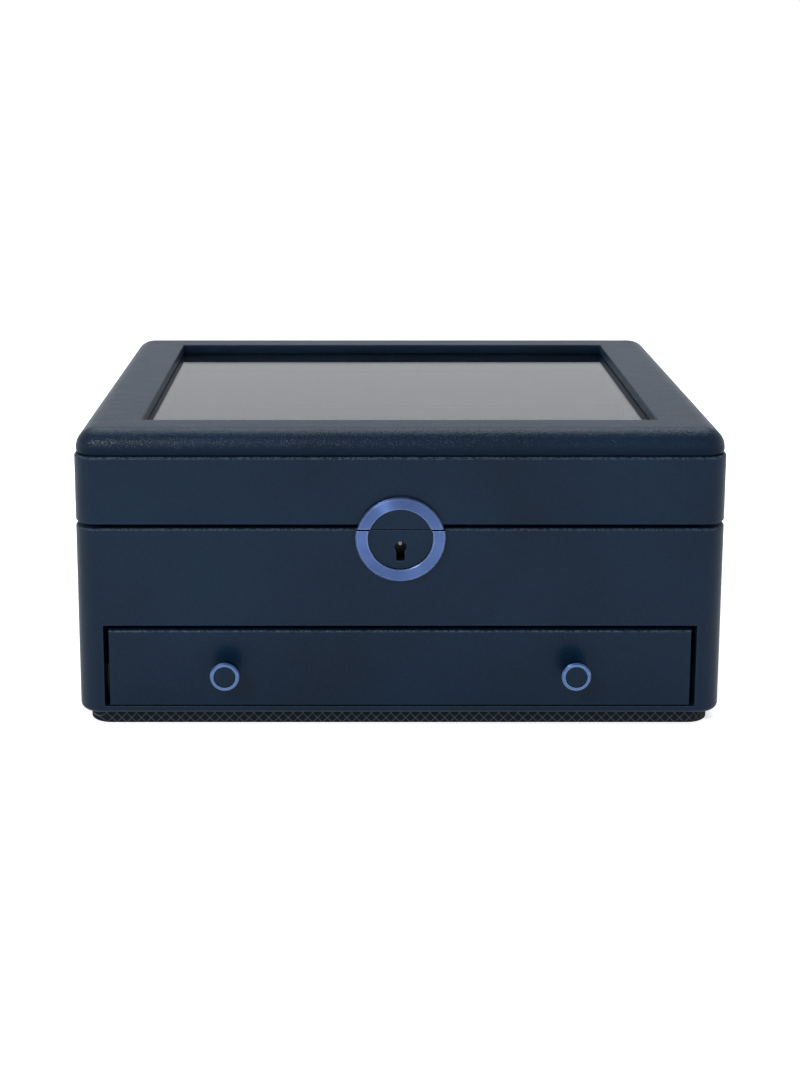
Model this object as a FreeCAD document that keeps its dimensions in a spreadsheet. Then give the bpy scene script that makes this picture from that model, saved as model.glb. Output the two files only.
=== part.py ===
# Watch box: a leather covered case with a hinged glass lid, a drawer and a lock behind a
# ring that is split along the line between lid and case.
# Lengths are in millimetres. X runs to the right, Y to the rear and Z up. The origin is the
# centre of the underside, on the surface that the box stands on.
import FreeCAD, Part

import math
import operator
import os
from enum import IntEnum
from types import SimpleNamespace

import Sketcher
from FreeCAD import Placement, Rotation, Vector

SIZES = {
    # Case
    "case_width": 340,
    "case_depth": 245,
    "case_height": 101.5,
    "case_wall": 12,
    "corner_radius": 12,
    "foot_rounding": 3,
    "rim_bevel": 0.8,
    "plinth_height": 7,
    "plinth_inset": 4.8,
    "felt_inset": 10,
    "felt_thickness": 0.6,
    "base_board_thickness": 3.7,
    # Watch bay
    "bay_floor_clearance": 1.2,
    "bay_floor_thickness": 4,
    "lining_thickness": 1,
    "lip_thickness": 2,
    "lip_rise": 2,
    "lip_bevel": 0.6,
    "divider_thickness": 2.5,
    "divider_height": 40,
    "divider_clearance": 0.2,
    "cushion_side_gap": 3.2,
    "strap_gap": 13.6,
    "cushion_height": 40,
    "cushion_foot_inset": 2.2,
    "cushion_waist_height": 12,
    "cushion_shoulder_height": 28,
    "cushion_shoulder_inset": 1.4,
    "cushion_brow_height": 37.2,
    "cushion_brow_inset": 8.1,
    "cushion_crown_inset": 17.5,
    "cushion_corner": 9,
    "cushion_draw_in": 2.2,
    "soft_clearance": 0.3,
    # Lid
    "lid_gap": 1.9,
    "lid_wall": 11,
    "band_height": 36.3,
    "band_bevel": 1,
    "pad_height": 13.3,
    "pad_inset": 0.8,
    "pad_roll": 11.6,
    "pad_hem": 0.7,
    "pad_width": 33.4,
    "pad_depth": 26.1,
    "window_bevel": 0.7,
    "window_recess": 6,
    "trim_thickness": 1.2,
    "trim_bevel": 0.4,
    "glass_thickness": 3,
    "glass_overlap": 4,
    "glass_clearance": 0.2,
    "glass_frame_height": 7.2,
    "lid_lining_gap": 1.5,
    # Drawer
    "opening_margin": 14.5,
    "opening_height": 44.6,
    "drawer_side_gap": 2.6,
    "drawer_top_gap": 2.6,
    "drawer_running_gap": 0.3,
    "drawer_front_thickness": 12,
    "drawer_front_rounding": 1.2,
    "drawer_box_inset": 0.5,
    "drawer_rear_gap": 11,
    "drawer_box_height": 36,
    "drawer_board": 8,
    "drawer_bottom_rise": 3,
    "drawer_bottom_thickness": 3,
    "groove_depth": 4,
    "groove_clearance": 0.1,
    "runner_thickness": 0.5,
    "runner_width": 18,
    "runner_guide_height": 19,
    "runner_side_gap": 0.4,
    # Knobs
    "knob_from_end": 61.9,
    "knob_rise": 21.6,
    "knob_reach": 13,
    "knob_radius": 7.55,
    "knob_head": 4.2,
    "knob_bevel": 0.7,
    "knob_stem_radius": 3.4,
    "knob_cup_radius": 5.75,
    "knob_cup_depth": 1.6,
    "knob_inlay_clearance": 0.1,
    "knob_inlay_thickness": 1.2,
    "knob_inlay_bevel": 0.3,
    # Ring and disc in front of the lock
    "ring_radius": 23.3,
    "ring_bore_radius": 16.95,
    "ring_drop": 0.8,
    "ring_thickness": 2.8,
    "ring_outer_bevel": 0.7,
    "ring_inner_bevel": 0.4,
    "ring_below_rim": 5,
    "ring_slit": 1,
    "disc_clearance": 0.25,
    "disc_thickness": 1.4,
    "disc_slit": 0.5,
    "split_above_rim": 0.15,
    # Lock
    "keyhole_below_rim": 9.5,
    "keyhole_radius": 3.2,
    "keyhole_slot_width": 4.5,
    "keyhole_slot_length": 7.2,
    "lock_width": 28,
    "lock_height": 18.9,
    "lock_thickness": 7.6,
    "lock_setback": 2.9,
    "lock_sheet": 0.8,
    "lock_clearance": 0.2,
    "face_plate_width": 38,
    "face_plate_depth": 8.6,
    "face_plate_thickness": 1,
    "post_radius": 1,
    "post_length": 5.4,
    "bolt_travel": 3.6,
    "bolt_above_keyhole": 3,
    "bolt_bar_height": 1.2,
    "bolt_arm": 1.8,
    "bolt_finger_length": 3.5,
    "bolt_finger_height": 1.7,
    "bolt_finger_rise": 2.6,
    "bolt_thickness": 2,
    "bolt_play": 0.3,
    "bolt_notch_width": 2.4,
    "bolt_notch_height": 0.7,
    "link_spacing": 12,
    "link_thickness": 1.2,
    "link_wall": 1,
    "link_play": 0.3,
    "link_finger_gap": 0.6,
    "strike_width": 30,
    "strike_depth": 8,
    "strike_thickness": 0.8,
    # Hinges
    "hinge_from_side": 65,
    "hinge_length": 32,
    "hinge_inset": 1.5,
    "hinge_leaf_depth": 9.7,
    "hinge_leaf_thickness": 0.85,
    "knuckle_radius": 2,
    "knuckle_length": 11,
    "knuckle_clearance": 0.3,
    "pin_radius": 0.9,
    "pin_clearance": 0.03,
    # Screws
    "screw_hole_radius": 1.5,
    "screw_clearance": 0.06,
    "hinge_screw_spacing": 20,
    "lock_screw_spacing": 33,
    "strike_screw_spacing": 26,
    "knob_screw_radius": 1.5,
    "knob_screw_head_radius": 3,
    "knob_screw_head_height": 1.8,
    "knob_screw_depth": 7,
}

BAY_COLUMNS = 5
PLANE_FROM_ABOVE = "XY_Plane"
PLANE_FROM_FRONT = "XZ_Plane"
PLANE_FROM_SIDE = "YZ_Plane"
SMALL = 1e-4


class Side(IntEnum):
    """The two sides of the box, as signs of X."""
    left = -1
    right = 1


class Ref(IntEnum):
    """How a sketch numbers its own origin and the points of a line or an arc."""
    ORIGIN = -1
    START = 1
    END = 2
    CENTRE = 3


doc = FreeCAD.newDocument("watch_box")
sheet = doc.addObject("Spreadsheet::Sheet", "Sizes")
nodes = []


class Size:
    """A length with its formula, so that whatever is worked out from it stays tied to the sheet."""

    def __init__(self, value, formula):
        self.value = value
        self.formula = formula

    def __add__(self, other):
        return combine(self, "+", other)

    def __radd__(self, other):
        return combine(other, "+", self)

    def __sub__(self, other):
        return combine(self, "-", other)

    def __rsub__(self, other):
        return combine(other, "-", self)

    def __mul__(self, other):
        return combine(self, "*", other)

    def __rmul__(self, other):
        return combine(other, "*", self)

    def __truediv__(self, other):
        return combine(self, "/", other)

    def __neg__(self):
        return combine(-1, "*", self)


OPERATIONS = {"+": operator.add, "-": operator.sub, "*": operator.mul, "/": operator.truediv}


def as_size(number):
    return number if isinstance(number, Size) else Size(float(number), f"({float(number)})")


def combine(left, sign, right):
    left, right = as_size(left), as_size(right)
    return Size(OPERATIONS[sign](left.value, right.value), f"({left.formula} {sign} {right.formula})")


def read_sizes():
    """Fill the sheet and give each of its cells as a size."""
    for row, (name, number) in enumerate(SIZES.items(), start=1):
        sheet.set(f"A{row}", name)
        sheet.set(f"B{row}", str(number))
        sheet.setAlias(f"B{row}", name)
    doc.recompute()
    return SimpleNamespace(**{name: Size(float(sheet.get(name)), f"Sizes.{name}") for name in SIZES})


def tie(thing, path, size):
    thing.setExpression(path, as_size(size).formula)


def keep(thing):
    """Count a finished piece among those that are written out."""
    nodes.append(thing)
    return thing


# Sketches and features

def new_body(label, x=0, y=0, z=0, turned=None):
    body = doc.addObject("PartDesign::Body", label)
    body.Label = label
    if turned:
        body.Placement = Placement(Vector(), turned)
    for axis, length in zip("xyz", (x, y, z)):
        tie(body, f"Placement.Base.{axis}", length)
    return keep(body)


def new_sketch(body, plane, out):
    """A sketch on one of the body's own planes, moved out along that plane's normal."""
    sketch = body.newObject("Sketcher::SketchObject", body.Label + "_sketch")
    support = next(item for item in body.Origin.OriginFeatures if item.Role == plane)
    sketch.AttachmentSupport = [(support, "")]
    sketch.MapMode = "FlatFace"
    tie(sketch, "AttachmentOffset.Base.z", out)
    return sketch


def hold(sketch, kind, *geometry, size):
    """A dimension of the sketch, tied to the sheet."""
    index = sketch.addConstraint(Sketcher.Constraint(kind, *geometry, size.value))
    tie(sketch, f"Constraints[{index}]", size)


def hold_point(sketch, line, point, across, up):
    hold(sketch, "DistanceX", Ref.ORIGIN, Ref.START, line, point, size=as_size(across))
    hold(sketch, "DistanceY", Ref.ORIGIN, Ref.START, line, point, size=as_size(up))


def draw_profile(sketch, points):
    """A closed outline of straight lines through points held one by one."""
    points = [(as_size(across), as_size(up)) for across, up in points]
    count = len(points)
    lines = []
    for index, (across, up) in enumerate(points):
        following = points[(index + 1) % count]
        start = Vector(across.value, up.value, 0)
        end = Vector(following[0].value, following[1].value, 0)
        lines.append(sketch.addGeometry(Part.LineSegment(start, end), False))
    for index, line in enumerate(lines):
        following = lines[(index + 1) % count]
        sketch.addConstraint(Sketcher.Constraint("Coincident", line, Ref.END, following, Ref.START))
        hold_point(sketch, line, Ref.START, *points[index])


def draw_rectangle(sketch, width, height, across=0, up=0):
    """A rectangle about its centre."""
    low_x, high_x = across - width / 2, across + width / 2
    low_y, high_y = up - height / 2, up + height / 2
    draw_profile(sketch, [(low_x, low_y), (high_x, low_y), (high_x, high_y), (low_x, high_y)])


def draw_circle(sketch, radius, across=0, up=0):
    across, up = as_size(across), as_size(up)
    circle = Part.Circle(Vector(across.value, up.value, 0), Vector(0, 0, 1), radius.value)
    index = sketch.addGeometry(circle, False)
    hold(sketch, "Radius", index, size=radius)
    hold_point(sketch, index, Ref.CENTRE, across, up)


def add_pad(body, plane, length, draw, out=0, reverse=False, both_ways=False):
    sketch = new_sketch(body, plane, out)
    draw(sketch)
    doc.recompute()
    feature = body.newObject("PartDesign::Pad", body.Label + "_pad")
    feature.Profile = sketch
    tie(feature, "Length", length)
    feature.Reversed = reverse
    feature.Midplane = both_ways
    doc.recompute()
    return feature


def add_pocket(body, plane, depth, draw, out=0, reverse=False, both_ways=False):
    """A cut that has to take something away."""
    before = body.Shape.Volume
    sketch = new_sketch(body, plane, out)
    draw(sketch)
    doc.recompute()
    feature = body.newObject("PartDesign::Pocket", body.Label + "_pocket")
    feature.Profile = sketch
    tie(feature, "Length", depth)
    feature.Reversed = reverse
    feature.Midplane = both_ways
    doc.recompute()
    if body.Shape.Volume > before - SMALL:
        raise RuntimeError(f"{feature.Name} cuts nothing")
    return feature


def dress_edges(body, kind, size_name, size, wanted):
    """A fillet or a chamfer on every edge of the body that the test wants."""
    base = body.Tip
    names = [f"Edge{index}" for index, edge in enumerate(base.Shape.Edges, start=1) if wanted(edge)]
    if not names:
        raise RuntimeError(f"{body.Label} has no such edge")
    feature = body.newObject(kind, body.Label + "_edges")
    feature.Base = (base, names)
    tie(feature, size_name, size)
    doc.recompute()
    return feature


def round_edges(body, radius, wanted):
    return dress_edges(body, "PartDesign::Fillet", "Radius", radius, wanted)


def bevel_edges(body, size, wanted):
    return dress_edges(body, "PartDesign::Chamfer", "Size", size, wanted)


def near(first, second):
    return abs(first - second) < SMALL


def at_level(level):
    """Edges that lie flat at one height of the body."""
    return lambda edge: all(near(vertex.Z, level.value) for vertex in edge.Vertexes)


def on_face(depth):
    """Edges that lie in the front face of a piece of that thickness."""
    return lambda edge: all(near(vertex.Y, -depth.value) for vertex in edge.Vertexes)


def on_circle(radius):
    return lambda edge: edge.Curve.TypeId == "Part::GeomCircle" and near(edge.Curve.Radius, radius.value)


def upright(edge):
    return not near(edge.Vertexes[0].Z, edge.Vertexes[-1].Z)


def outside(width, depth):
    """Edges that lie beyond a centred rectangle."""
    def test(edge):
        centre = edge.CenterOfMass
        return abs(centre.x) > width.value / 2 + SMALL or abs(centre.y) > depth.value / 2 + SMALL
    return test


def both(first, second):
    return lambda edge: first(edge) and second(edge)


def box_between(name, low, high):
    box = doc.addObject("Part::Box", name)
    for axis, side, start, end in zip("xyz", ("Length", "Width", "Height"), low, high):
        tie(box, side, end - start)
        tie(box, f"Placement.Base.{axis}", start)
    return box


def board(label, low, high, grooves=()):
    """A flat board between two corners, less the grooves that are cut in it."""
    piece = box_between(label if not grooves else label + "_blank", low, high)
    for count, (groove_low, groove_high) in enumerate(grooves, start=1):
        cut = doc.addObject("Part::Cut", label if count == len(grooves) else f"{label}_cut")
        cut.Base = piece
        cut.Tool = box_between(f"{label}_groove", groove_low, groove_high)
        piece = cut
    piece.Label = label
    return keep(piece)


def frame_piece(label, width, depth, wall_width, wall_depth, bottom, height):
    """An upright frame: a rectangle with a smaller one cut out of it."""
    body = new_body(label, z=bottom)
    add_pad(body, PLANE_FROM_ABOVE, height, lambda k: draw_rectangle(k, width, depth))
    inner_width, inner_depth = width - 2 * wall_width, depth - 2 * wall_depth
    add_pocket(body, PLANE_FROM_ABOVE, height, lambda k: draw_rectangle(k, inner_width, inner_depth),
               out=height)
    return body


def add_solids(label, solids):
    """Like pieces that share one name."""
    piece = doc.addObject("Part::Feature", label)
    piece.Label = label
    piece.Shape = Part.makeCompound(solids)
    return keep(piece)


s = read_sizes()

# Levels and places that several pieces share
rim_level = s.plinth_height + s.case_height
lid_level = rim_level + s.lid_gap
pad_level = lid_level + s.band_height
front = -(s.case_depth / 2)
rear = s.case_depth / 2
inner_width = s.case_width - 2 * s.case_wall
inner_depth = s.case_depth - 2 * s.case_wall
lid_inner_width = s.case_width - 2 * s.lid_wall
lid_inner_depth = s.case_depth - 2 * s.lid_wall

window_width = s.case_width - 2 * s.pad_width
window_depth = s.case_depth - 2 * s.pad_depth
pane_width = window_width + 2 * s.glass_overlap
pane_depth = window_depth + 2 * s.glass_overlap
pane_top = pad_level + s.pad_height - s.window_recess

base_board_top = s.plinth_height + s.base_board_thickness
opening_bottom = base_board_top + s.runner_thickness
opening_top = opening_bottom + s.opening_height
drawer_level = opening_bottom + s.drawer_running_gap
opening_width = s.case_width - 2 * s.opening_margin
drawer_front_width = opening_width - 2 * s.drawer_side_gap
drawer_front_height = s.opening_height - s.drawer_running_gap - s.drawer_top_gap
drawer_box_width = drawer_front_width - 2 * s.drawer_box_inset
drawer_box_front = front + s.drawer_front_thickness
drawer_box_rear = rear - s.case_wall - s.drawer_rear_gap
drawer_bottom_level = drawer_level + s.drawer_bottom_rise
knob_level = drawer_level + s.knob_rise
knob_x = drawer_front_width / 2 - s.knob_from_end

bay_floor_level = opening_top + s.bay_floor_clearance
bay_level = bay_floor_level + s.bay_floor_thickness
bay_width = inner_width - 2 * s.lip_thickness
bay_depth = inner_depth - 2 * s.lip_thickness
column_width = (bay_width - (BAY_COLUMNS - 1) * s.divider_thickness) / BAY_COLUMNS
row_depth = (bay_depth - s.divider_thickness) / 2
divider_level = bay_level + s.lining_thickness
lip_top = lid_level + s.lip_rise

keyhole_level = rim_level - s.keyhole_below_rim
split_level = rim_level + s.split_above_rim
ring_level = rim_level - s.ring_below_rim
lock_front = front + s.lock_setback
lock_rear = lock_front + s.lock_thickness
lock_top = rim_level - s.face_plate_thickness
lock_bottom = lock_top - s.lock_height
lock_middle = (lock_front + lock_rear) / 2
bolt_level = keyhole_level + s.bolt_above_keyhole
bolt_left = -(s.link_spacing / 2) - s.link_finger_gap
strike_level = lid_level - s.strike_thickness

pivot_y = rear - s.hinge_inset
pivot_level = rim_level + s.lid_gap / 2
leaf_edge = pivot_y - s.knuckle_radius - s.knuckle_clearance


def hinge_x(side):
    return side * (s.case_width / 2 - s.hinge_from_side)


def draw_screw_holes(sketch, places):
    for x, y in places:
        draw_circle(sketch, s.screw_hole_radius, x, y)


def draw_hinge_notches(sketch):
    """The notches in a rim that the knuckles lie in, open to the rear."""
    for side in Side:
        depth = rear - leaf_edge + s.case_wall / 4
        draw_rectangle(sketch, s.hinge_length + 2 * s.knuckle_clearance, depth,
                       hinge_x(side), leaf_edge + depth / 2)


def draw_keyhole_circle(sketch):
    draw_circle(sketch, s.keyhole_radius, 0, keyhole_level)


def draw_keyhole_slot(sketch):
    draw_rectangle(sketch, s.keyhole_slot_width, s.keyhole_slot_length, 0,
                   keyhole_level - s.keyhole_slot_length / 2)


# The case

def make_plinth():
    width, depth = s.case_width - 2 * s.plinth_inset, s.case_depth - 2 * s.plinth_inset
    felt_width, felt_depth = width - 2 * s.felt_inset, depth - 2 * s.felt_inset
    body = new_body("plinth")
    add_pad(body, PLANE_FROM_ABOVE, s.plinth_height, lambda k: draw_rectangle(k, width, depth))
    round_edges(body, s.corner_radius, upright)
    add_pocket(body, PLANE_FROM_ABOVE, s.felt_thickness, lambda k: draw_rectangle(k, felt_width, felt_depth),
               reverse=True)
    board("base_felt", (-(felt_width / 2), -(felt_depth / 2), as_size(0)),
          (felt_width / 2, felt_depth / 2, s.felt_thickness))


def make_case_shell():
    body = new_body("case_shell", z=s.plinth_height)
    top = s.case_height
    add_pad(body, PLANE_FROM_ABOVE, top, lambda k: draw_rectangle(k, s.case_width, s.case_depth))
    round_edges(body, s.corner_radius, upright)
    round_edges(body, s.foot_rounding, at_level(as_size(0)))
    bevel_edges(body, s.rim_bevel, at_level(top))
    add_pocket(body, PLANE_FROM_ABOVE, top, lambda k: draw_rectangle(k, inner_width, inner_depth), out=top)
    opening_middle = (opening_bottom + opening_top) / 2 - s.plinth_height
    add_pocket(body, PLANE_FROM_FRONT, s.case_wall,
               lambda k: draw_rectangle(k, opening_width, s.opening_height, 0, opening_middle), out=rear)
    seat_width = s.lock_width + 2 * s.lock_clearance
    seat_bottom = lock_bottom - s.lock_clearance - s.plinth_height
    add_pocket(body, PLANE_FROM_FRONT, s.case_wall,
               lambda k: draw_rectangle(k, seat_width, top - seat_bottom, 0, (top + seat_bottom) / 2),
               out=rear)
    add_pocket(body, PLANE_FROM_ABOVE, s.face_plate_thickness,
               lambda k: draw_rectangle(k, s.face_plate_width + 2 * s.lock_clearance,
                                        s.face_plate_depth + 2 * s.lock_clearance, 0, lock_middle), out=top)
    notch_depth = rim_level - pivot_level + s.knuckle_radius + s.knuckle_clearance
    add_pocket(body, PLANE_FROM_ABOVE, notch_depth, draw_hinge_notches, out=top)


def make_boards():
    half_width, half_depth = inner_width / 2, inner_depth / 2
    board("base_board", (-half_width, -half_depth, s.plinth_height), (half_width, half_depth, base_board_top))
    board("bay_floor", (-half_width, -half_depth, bay_floor_level), (half_width, half_depth, bay_level))
    board("bay_lining", (-(bay_width / 2), -(bay_depth / 2), bay_level),
          (bay_width / 2, bay_depth / 2, divider_level))


def make_inner_lip():
    height = lip_top - bay_level
    body = frame_piece("inner_lip", inner_width, inner_depth, s.lip_thickness, s.lip_thickness, bay_level, height)
    bevel_edges(body, s.lip_bevel, at_level(height))


def make_runners():
    """Angle strips that carry the drawer from below and guide it at the sides."""
    web = drawer_box_width / 2 + s.runner_side_gap
    wall = inner_width / 2
    for side in Side:
        body = new_body("drawer_runner_" + side.name, y=inner_depth / 2, z=base_board_top)
        profile = [(wall - s.runner_width, as_size(0)), (wall, as_size(0)), (wall, s.runner_guide_height),
                   (web, s.runner_guide_height), (web, s.runner_thickness),
                   (wall - s.runner_width, s.runner_thickness)]
        add_pad(body, PLANE_FROM_FRONT, inner_depth,
                lambda k: draw_profile(k, [(side * across, up) for across, up in profile]))


def divider_x(index):
    """The middle of one of the short dividers."""
    return (index - BAY_COLUMNS / 2) * (column_width + s.divider_thickness)


def make_dividers():
    """Boards that are slotted halfway into each other where they cross."""
    slot = s.divider_thickness + 2 * s.divider_clearance
    half = s.divider_height / 2 + s.divider_clearance
    long_one = new_body("divider_long", z=divider_level)
    length = bay_width - 2 * s.divider_clearance
    crossings = [divider_x(index) for index in range(1, BAY_COLUMNS)]
    add_pad(long_one, PLANE_FROM_FRONT, s.divider_thickness,
            lambda k: draw_rectangle(k, length, s.divider_height, 0, s.divider_height / 2), both_ways=True)

    def draw_upper_slots(sketch):
        for across in crossings:
            draw_rectangle(sketch, slot, half, across, s.divider_height - half / 2)

    add_pocket(long_one, PLANE_FROM_FRONT, s.case_depth, draw_upper_slots, both_ways=True)
    for index, across in enumerate(crossings, start=1):
        short = new_body(f"divider_cross_{index}", x=across, z=divider_level)
        add_pad(short, PLANE_FROM_SIDE, s.divider_thickness,
                lambda k: draw_rectangle(k, bay_depth - 2 * s.divider_clearance, s.divider_height, 0,
                                         s.divider_height / 2), both_ways=True)
        add_pocket(short, PLANE_FROM_SIDE, s.case_width,
                   lambda k: draw_rectangle(k, slot, half, 0, half / 2), both_ways=True)


CUSHION_SIDE_STEPS = 3
CUSHION_CORNER_STEPS = 3


def cushion_outline(half_x, half_y):
    """A rectangle with round corners whose sides curve in between them, as points."""
    corner, draw_in = s.cushion_corner.value, s.cushion_draw_in.value
    points = []
    for turn in range(4):
        reach, run = (half_x, half_y) if turn % 2 == 0 else (half_y, half_x)
        quarter = []
        for step in range(CUSHION_SIDE_STEPS):
            share = 2 * step / CUSHION_SIDE_STEPS - 1
            quarter.append(Vector(reach - draw_in * (1 - share ** 2), share * (run - corner), 0))
        for step in range(CUSHION_CORNER_STEPS):
            angle = math.pi / 2 * step / CUSHION_CORNER_STEPS
            quarter.append(Vector(reach - corner + corner * math.cos(angle),
                                  run - corner + corner * math.sin(angle), 0))
        points.extend(Rotation(Vector(0, 0, 1), 90 * turn).multVec(point) for point in quarter)
    return points


def cushion_solid():
    """Flat faces between one outline at several levels: widest at its waist, crowned on top."""
    half_x = (column_width / 2 - s.cushion_side_gap).value
    half_y = (row_depth / 2 - s.strap_gap).value
    outline = cushion_outline(half_x, half_y)
    levels = [(as_size(0), s.cushion_foot_inset), (s.cushion_waist_height, as_size(0)),
              (s.cushion_shoulder_height, s.cushion_shoulder_inset),
              (s.cushion_brow_height, s.cushion_brow_inset), (s.cushion_height, s.cushion_crown_inset)]
    rings = [[point * (1 - inset.value / half_x) + Vector(0, 0, height.value) for point in outline]
             for height, inset in levels]
    corners = [rings[0], rings[-1]]
    for lower, upper in zip(rings, rings[1:]):
        for index in range(len(outline)):
            corners.append([lower[index - 1], lower[index], upper[index], upper[index - 1]])
    faces = [Part.Face(Part.makePolygon(points + points[:1])) for points in corners]
    return Part.Solid(Part.Shell(faces))


def make_cushions():
    solid = cushion_solid()
    row_y = (row_depth + s.divider_thickness) / 2
    for row, side in (("front", -1), ("rear", 1)):
        for index in range(BAY_COLUMNS):
            x = (index - (BAY_COLUMNS - 1) / 2) * (column_width + s.divider_thickness)
            cushion = doc.addObject("Part::Feature", f"cushion_{row}_{index + 1}")
            cushion.Label = cushion.Name
            cushion.Shape = solid.copy()
            cushion.Placement = Placement(Vector(x.value, side * row_y.value,
                                                 (divider_level + s.soft_clearance).value), Rotation())
            keep(cushion)


# The lid

def make_lid_band():
    """The upright walls of the lid."""
    body = new_body("lid_band", z=lid_level)
    add_pad(body, PLANE_FROM_ABOVE, s.band_height, lambda k: draw_rectangle(k, s.case_width, s.case_depth))
    round_edges(body, s.corner_radius, upright)
    bevel_edges(body, s.rim_bevel, at_level(as_size(0)))
    bevel_edges(body, s.band_bevel, at_level(s.band_height))
    add_pocket(body, PLANE_FROM_ABOVE, s.band_height,
               lambda k: draw_rectangle(k, lid_inner_width, lid_inner_depth), out=s.band_height)
    notch_depth = pivot_level + s.knuckle_radius + s.knuckle_clearance - lid_level
    add_pocket(body, PLANE_FROM_ABOVE, notch_depth, draw_hinge_notches, reverse=True)


def make_lid_pad():
    """The padded frame round the glass, rolled over at its outer edge."""
    body = new_body("lid_pad", z=pad_level)
    width, depth = s.case_width - 2 * s.pad_inset, s.case_depth - 2 * s.pad_inset
    add_pad(body, PLANE_FROM_ABOVE, s.pad_height, lambda k: draw_rectangle(k, width, depth))
    round_edges(body, s.corner_radius, upright)
    round_edges(body, s.pad_roll, at_level(s.pad_height))
    bevel_edges(body, s.pad_hem, at_level(as_size(0)))
    add_pocket(body, PLANE_FROM_ABOVE, s.pad_height,
               lambda k: draw_rectangle(k, window_width, window_depth), out=s.pad_height)
    seat_width, seat_depth = pane_width + 2 * s.glass_clearance, pane_depth + 2 * s.glass_clearance
    seat_height = pane_top + s.glass_clearance - pad_level
    add_pocket(body, PLANE_FROM_ABOVE, seat_height, lambda k: draw_rectangle(k, seat_width, seat_depth),
               reverse=True)
    beyond_window = outside(seat_width, seat_depth)
    on_window = both(at_level(s.pad_height), lambda edge: not beyond_window(edge))
    bevel_edges(body, s.window_bevel, on_window)


def make_glass():
    """The pane, held up against the padded frame by one that is lined with a trim."""
    pane_bottom = pane_top - s.glass_thickness
    board("glass_pane", (-(pane_width / 2), -(pane_depth / 2), pane_bottom),
          (pane_width / 2, pane_depth / 2, pane_top))
    frame_level = pad_level - s.glass_frame_height
    height = pane_bottom - frame_level
    trim_width, trim_depth = window_width + 2 * s.trim_thickness, window_depth + 2 * s.trim_thickness
    body = new_body("glass_frame", z=frame_level)
    add_pad(body, PLANE_FROM_ABOVE, s.glass_frame_height,
            lambda k: draw_rectangle(k, lid_inner_width, lid_inner_depth))
    add_pad(body, PLANE_FROM_ABOVE, height, lambda k: draw_rectangle(k, pane_width, pane_depth))
    add_pocket(body, PLANE_FROM_ABOVE, height, lambda k: draw_rectangle(k, trim_width, trim_depth), out=height)
    trim = frame_piece("window_trim", trim_width, trim_depth, s.trim_thickness, s.trim_thickness,
                       frame_level, height)
    beyond_trim = outside(window_width, window_depth)
    bevel_edges(trim, s.trim_bevel, both(at_level(as_size(0)), lambda edge: not beyond_trim(edge)))
    lining_level = lip_top + s.lid_lining_gap
    frame_piece("lid_lining", lid_inner_width, lid_inner_depth, s.lining_thickness, s.lining_thickness,
                lining_level, frame_level - lining_level)


# The drawer

def make_drawer_front():
    body = new_body("drawer_front", y=drawer_box_front, z=drawer_level)
    middle = drawer_front_height / 2
    add_pad(body, PLANE_FROM_FRONT, s.drawer_front_thickness,
            lambda k: draw_rectangle(k, drawer_front_width, drawer_front_height, 0, middle))
    round_edges(body, s.drawer_front_rounding, on_face(s.drawer_front_thickness))
    groove_height = s.drawer_bottom_thickness + 2 * s.groove_clearance
    groove_middle = s.drawer_bottom_rise + s.drawer_bottom_thickness / 2
    groove_width = drawer_box_width - 2 * s.drawer_board + 2 * s.groove_depth
    add_pocket(body, PLANE_FROM_FRONT, s.groove_depth,
               lambda k: draw_rectangle(k, groove_width, groove_height, 0, groove_middle), reverse=True)

    def draw_knob_holes(sketch):
        for side in Side:
            draw_circle(sketch, s.knob_screw_radius + s.screw_clearance, side * knob_x, s.knob_rise)

    add_pocket(body, PLANE_FROM_FRONT, s.drawer_front_thickness, draw_knob_holes, reverse=True)


def make_drawer_box():
    half = drawer_box_width / 2
    inner = half - s.drawer_board
    top = drawer_level + s.drawer_box_height
    back_front = drawer_box_rear - s.drawer_board
    groove_low = drawer_bottom_level - s.groove_clearance
    groove_high = drawer_bottom_level + s.drawer_bottom_thickness + s.groove_clearance
    for side in Side:
        low_x, high_x = (inner, half) if side > 0 else (-half, -inner)
        cut_low, cut_high = (inner, inner + s.groove_depth) if side > 0 else (-inner - s.groove_depth, -inner)
        board("drawer_side_" + side.name, (low_x, drawer_box_front, drawer_level), (high_x, drawer_box_rear, top),
              [((cut_low, drawer_box_front, groove_low), (cut_high, drawer_box_rear, groove_high))])
    board("drawer_back", (-inner, back_front, drawer_level), (inner, drawer_box_rear, top),
          [((-inner, back_front, groove_low), (inner, back_front + s.groove_depth, groove_high))])
    reach = s.groove_depth - s.groove_clearance
    board("drawer_bottom", (-inner - reach, drawer_box_front - reach, drawer_bottom_level),
          (inner + reach, back_front + reach, drawer_bottom_level + s.drawer_bottom_thickness))
    lining_level = drawer_bottom_level + s.drawer_bottom_thickness
    board("drawer_lining", (-inner, drawer_box_front, lining_level),
          (inner, back_front, lining_level + s.lining_thickness))


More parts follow.
